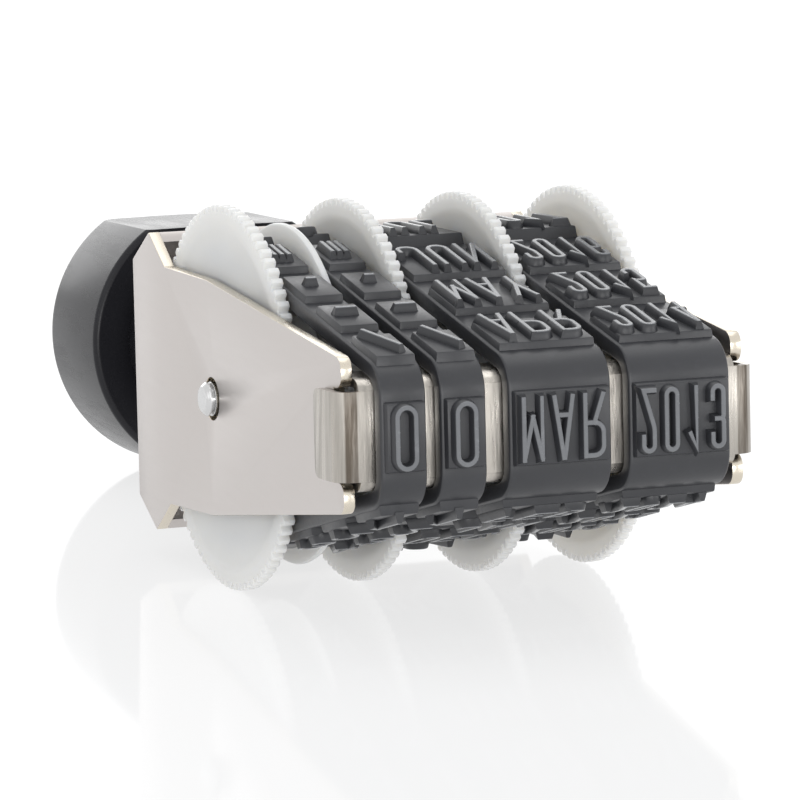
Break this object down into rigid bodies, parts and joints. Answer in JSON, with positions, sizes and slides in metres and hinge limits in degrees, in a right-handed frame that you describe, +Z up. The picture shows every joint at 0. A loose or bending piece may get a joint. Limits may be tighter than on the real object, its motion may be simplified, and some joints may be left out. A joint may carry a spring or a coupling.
{
  "type": "date and time stamp machine",
  "caption": "Hand date stamp: sheet steel frame with rubber type bands on toothed thumb wheels, bent over a front bridge, and a round knob handle with a flat.",
  "frame": {"origin": "middle of the stamp's footprint, on the level that its thumb wheels and its handle rim rest on", "axes": "+Z up, +X along the axle from the day wheels to the year wheel, +Y from the print face to the handle"},
  "size_m": [0.0254, 0.067, 0.0225],
  "materials": {
    "frame_steel": "satin nickel-plated sheet steel",
    "bridge_steel": "brushed nickel-plated sheet steel",
    "axle_steel": "bright turned steel",
    "wheel_plastic": "ivory moulded plastic",
    "drum_plastic": "ivory moulded plastic",
    "band_rubber": "dark grey moulded rubber",
    "handle_plastic": "glossy black moulded plastic",
    "insert_brass": "turned brass",
    "screw_steel": "zinc-plated steel"
  },
  "bodies": {
    "stamp": {"frame": "frame_steel", "bridge": "bridge_steel", "axle": "axle_steel", "band_day_tens": "band_rubber", "band_day_units": "band_rubber", "band_month": "band_rubber", "band_year": "band_rubber", "handle": "handle_plastic", "handle_insert": "insert_brass", "handle_screw": "screw_steel", "handle_washer": "screw_steel"},
    "wheel_day_tens_body": {"wheel_day_tens": "wheel_plastic", "drum_day_tens": "drum_plastic", "divider_disc": "wheel_plastic"},
    "wheel_day_units_body": {"wheel_day_units": "wheel_plastic", "drum_day_units": "drum_plastic"},
    "wheel_month_body": {"wheel_month": "wheel_plastic", "drum_month": "drum_plastic"},
    "wheel_year_body": {"wheel_year": "wheel_plastic", "drum_year": "drum_plastic"}
  },
  "joints": [
    {"name": "day_tens_turn", "type": "hinge", "parent": "stamp", "child": "wheel_day_tens_body", "pos_m": [0, -0.01015, 0.01125], "axis": [1, 0, 0], "continuous": true},
    {"name": "day_units_turn", "type": "hinge", "parent": "stamp", "child": "wheel_day_units_body", "pos_m": [0, -0.01015, 0.01125], "axis": [1, 0, 0], "continuous": true},
    {"name": "month_turn", "type": "hinge", "parent": "stamp", "child": "wheel_month_body", "pos_m": [0, -0.01015, 0.01125], "axis": [1, 0, 0], "continuous": true},
    {"name": "year_turn", "type": "hinge", "parent": "stamp", "child": "wheel_year_body", "pos_m": [0, -0.01015, 0.01125], "axis": [1, 0, 0], "continuous": true}
  ]
}
